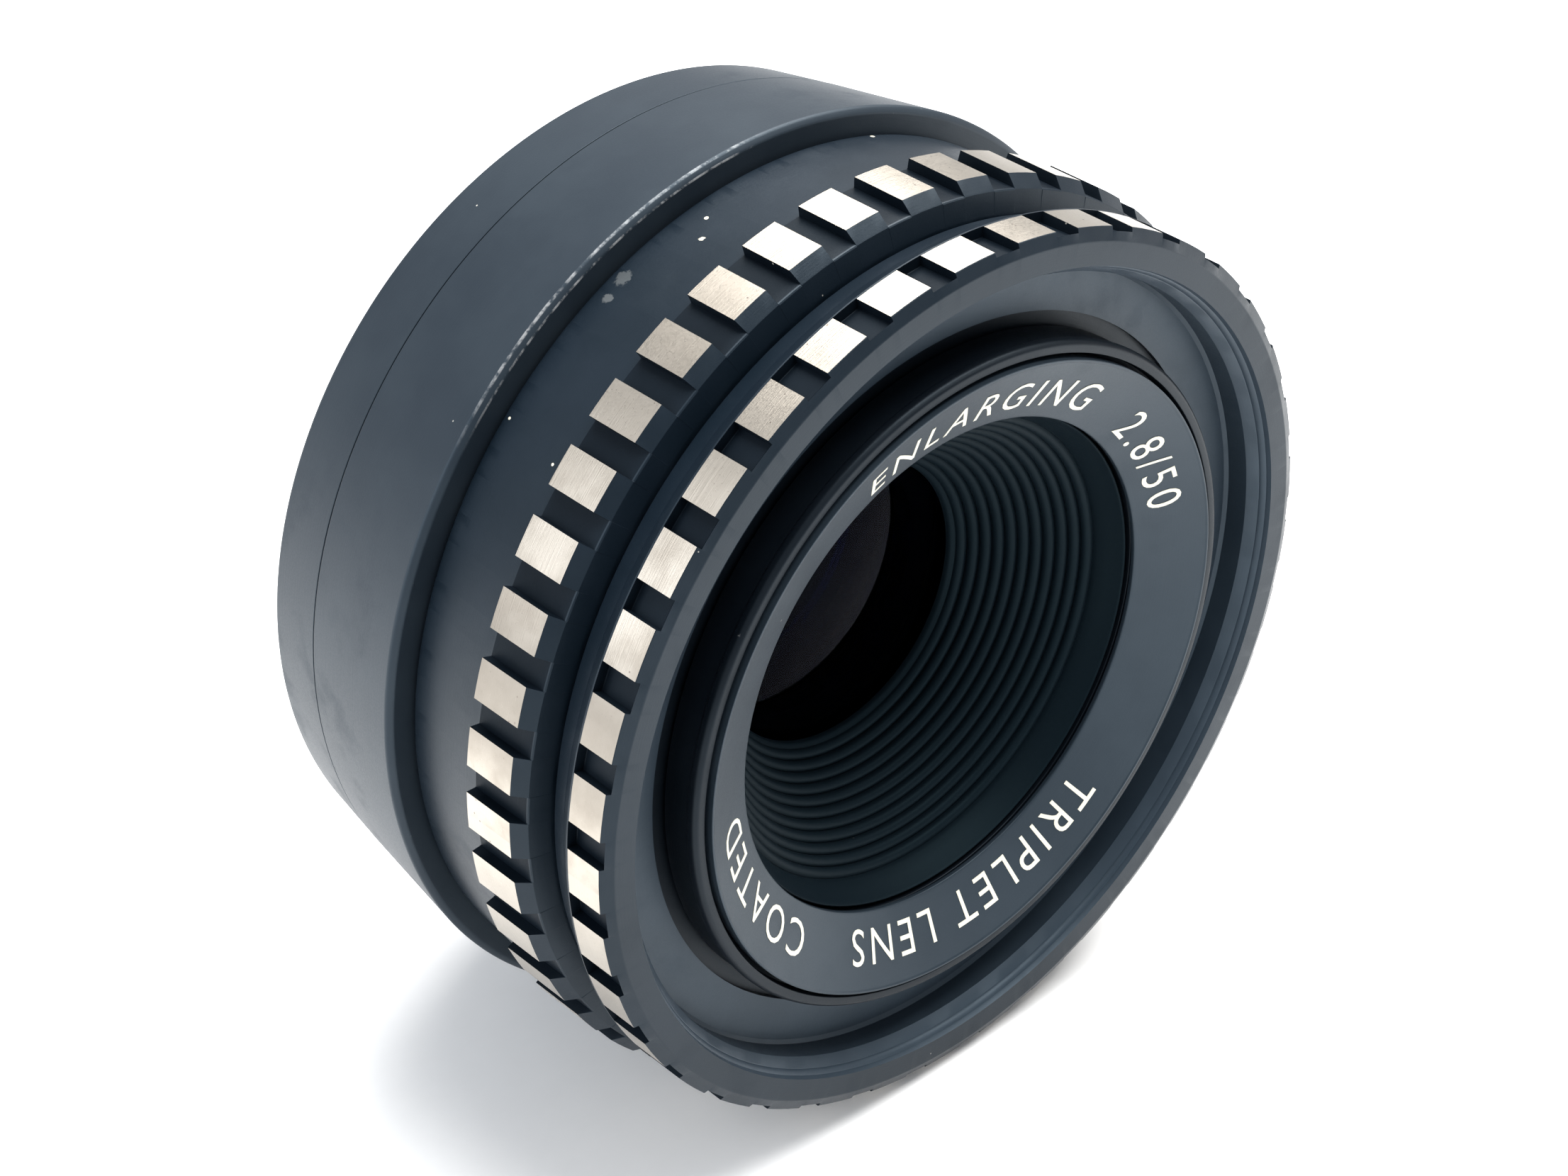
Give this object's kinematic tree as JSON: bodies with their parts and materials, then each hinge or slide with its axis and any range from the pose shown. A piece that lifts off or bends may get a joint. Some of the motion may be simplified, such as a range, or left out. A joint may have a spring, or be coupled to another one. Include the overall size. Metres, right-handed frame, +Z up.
{
  "type": "enlarger lens",
  "caption": "Short barrel-shaped projection lens with two slotted grip rings, a focusing helicoid, a leaf iris, a dished front ring and a threaded rear mount.",
  "frame": {"origin": "centre of the mounting flange's seating face, on the optical axis", "axes": "optical axis along Y with the front of the lens facing -Y, +Z up"},
  "size_m": [0.056, 0.0344, 0.056],
  "materials": {
    "black_anodised": "satin black anodised, bright where worn at the step",
    "grip_ring_aluminium": "black anodised with bright satin turned lands",
    "matt_black_paint": "matt black",
    "turned_aluminium": "turned",
    "brass": "turned",
    "blued_steel": "blued",
    "coated_glass": "polished, blue-violet coating"
  },
  "bodies": {
    "barrel": {"rear_barrel": "black_anodised", "mount_ring": "black_anodised", "threaded_mount": "turned_aluminium", "mount_screw_1": "blued_steel", "mount_screw_2": "blued_steel", "mount_screw_3": "blued_steel", "guide_key_1": "brass", "guide_key_2": "brass", "key_screw_1": "blued_steel", "key_screw_2": "blued_steel", "focus_stop_pin": "blued_steel"},
    "focusing": {"focus_ring": "grip_ring_aluminium", "focus_nut": "brass", "focus_set_screw_1": "blued_steel", "focus_set_screw_2": "blued_steel", "focus_set_screw_3": "blued_steel"},
    "lens_head": {"head_barrel": "black_anodised", "aperture_retainer": "turned_aluminium", "front_tube": "black_anodised", "name_ring": "black_anodised", "ribbed_baffle": "matt_black_paint", "front_cell": "matt_black_paint", "front_glass": "coated_glass", "middle_cell": "matt_black_paint", "middle_glass": "coated_glass", "iris_base_plate": "matt_black_paint", "rear_cell": "black_anodised", "rear_glass": "coated_glass", "rear_retainer": "black_anodised", "detent_ball": "blued_steel", "detent_spring": "blued_steel"},
    "aperture": {"aperture_ring": "grip_ring_aluminium", "iris_drive_sleeve": "brass", "iris_link_pin": "blued_steel"},
    "blade_1": {"iris_blade_1": "blued_steel"},
    "blade_2": {"iris_blade_2": "blued_steel"},
    "blade_3": {"iris_blade_3": "blued_steel"},
    "blade_4": {"iris_blade_4": "blued_steel"},
    "blade_5": {"iris_blade_5": "blued_steel"},
    "blade_6": {"iris_blade_6": "blued_steel"}
  },
  "joints": [
    {"name": "focus_turn", "type": "hinge", "parent": "barrel", "child": "focusing", "pos_m": [0, -0.0122, 0], "axis": [0, 1, 0], "range_deg": [0, 240]},
    {"name": "head_slide", "type": "slide", "parent": "barrel", "child": "lens_head", "axis": [0, -1, 0], "range_m": [0, 0.0038]},
    {"name": "aperture_turn", "type": "hinge", "parent": "lens_head", "child": "aperture", "pos_m": [0, -0.0255, 0], "axis": [0, 1, 0], "range_deg": [0, 70]},
    {"name": "iris_blade_1_swing", "type": "hinge", "parent": "lens_head", "child": "blade_1", "pos_m": [0.0134, -0.00928, 0], "axis": [0, -1, 0], "range_deg": [0, 32]},
    {"name": "iris_blade_2_swing", "type": "hinge", "parent": "lens_head", "child": "blade_2", "pos_m": [0.0067, -0.00958, 0.0116], "axis": [0, -1, 0], "range_deg": [0, 32]},
    {"name": "iris_blade_3_swing", "type": "hinge", "parent": "lens_head", "child": "blade_3", "pos_m": [-0.0067, -0.00988, 0.0116], "axis": [0, -1, 0], "range_deg": [0, 32]},
    {"name": "iris_blade_4_swing", "type": "hinge", "parent": "lens_head", "child": "blade_4", "pos_m": [-0.0134, -0.01018, 0], "axis": [0, -1, 0], "range_deg": [0, 32]},
    {"name": "iris_blade_5_swing", "type": "hinge", "parent": "lens_head", "child": "blade_5", "pos_m": [-0.0067, -0.01047, -0.0116], "axis": [0, -1, 0], "range_deg": [0, 32]},
    {"name": "iris_blade_6_swing", "type": "hinge", "parent": "lens_head", "child": "blade_6", "pos_m": [0.0067, -0.01077, -0.0116], "axis": [0, -1, 0], "range_deg": [0, 32]}
  ],
  "couplings": [
    {"joint": "head_slide", "follows": "focus_turn", "m_per_rad": 0.0009},
    {"joint": "iris_blade_1_swing", "follows": "aperture_turn", "ratio": 0.45},
    {"joint": "iris_blade_2_swing", "follows": "aperture_turn", "ratio": 0.45},
    {"joint": "iris_blade_3_swing", "follows": "aperture_turn", "ratio": 0.45},
    {"joint": "iris_blade_4_swing", "follows": "aperture_turn", "ratio": 0.45},
    {"joint": "iris_blade_5_swing", "follows": "aperture_turn", "ratio": 0.45},
    {"joint": "iris_blade_6_swing", "follows": "aperture_turn", "ratio": 0.45}
  ]
}
